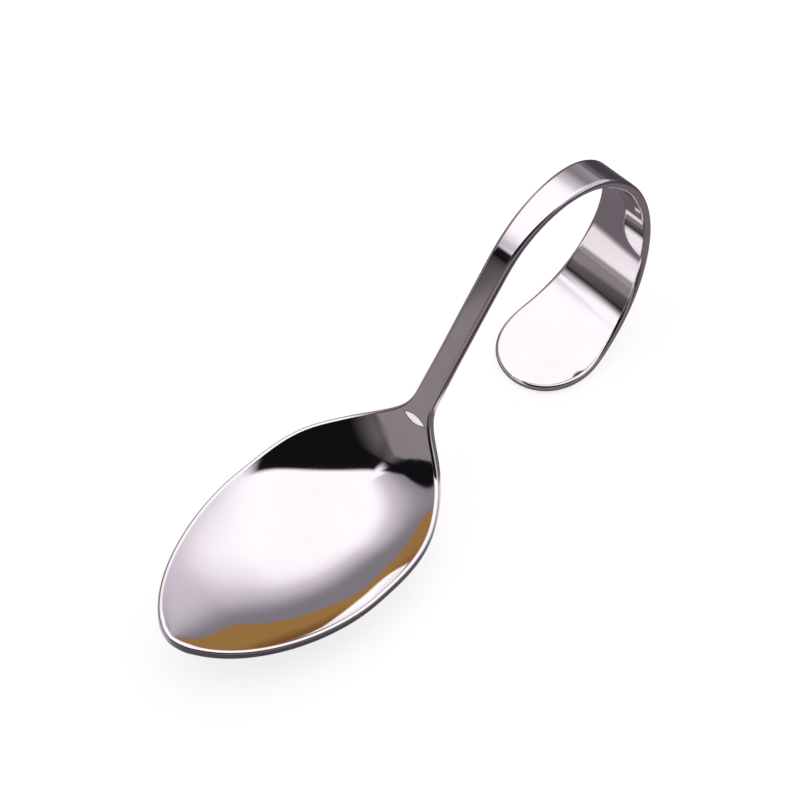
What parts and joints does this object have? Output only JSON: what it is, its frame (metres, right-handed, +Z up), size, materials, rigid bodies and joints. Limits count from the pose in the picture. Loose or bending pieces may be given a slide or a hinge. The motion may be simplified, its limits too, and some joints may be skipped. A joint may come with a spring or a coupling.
{
  "type": "curved-handle spoon",
  "caption": "Polished steel spoon with an egg-shaped bowl and a strip handle that curls over in an open loop and lies back flat as a foot, so it stands level for serving.",
  "frame": {"origin": "on the table, below the middle of the spoon's box, on its plane of symmetry", "axes": "+X from the bowl's tip towards the loop, +Y across the spoon, +Z up from the table"},
  "size_m": [0.121, 0.0382, 0.052],
  "materials": {
    "bowl_steel": "mirror-polished stainless steel",
    "handle_steel": "mirror-polished stainless steel"
  },
  "bodies": {
    "root": {"bowl": "bowl_steel", "handle": "handle_steel"}
  },
  "joints": []
}
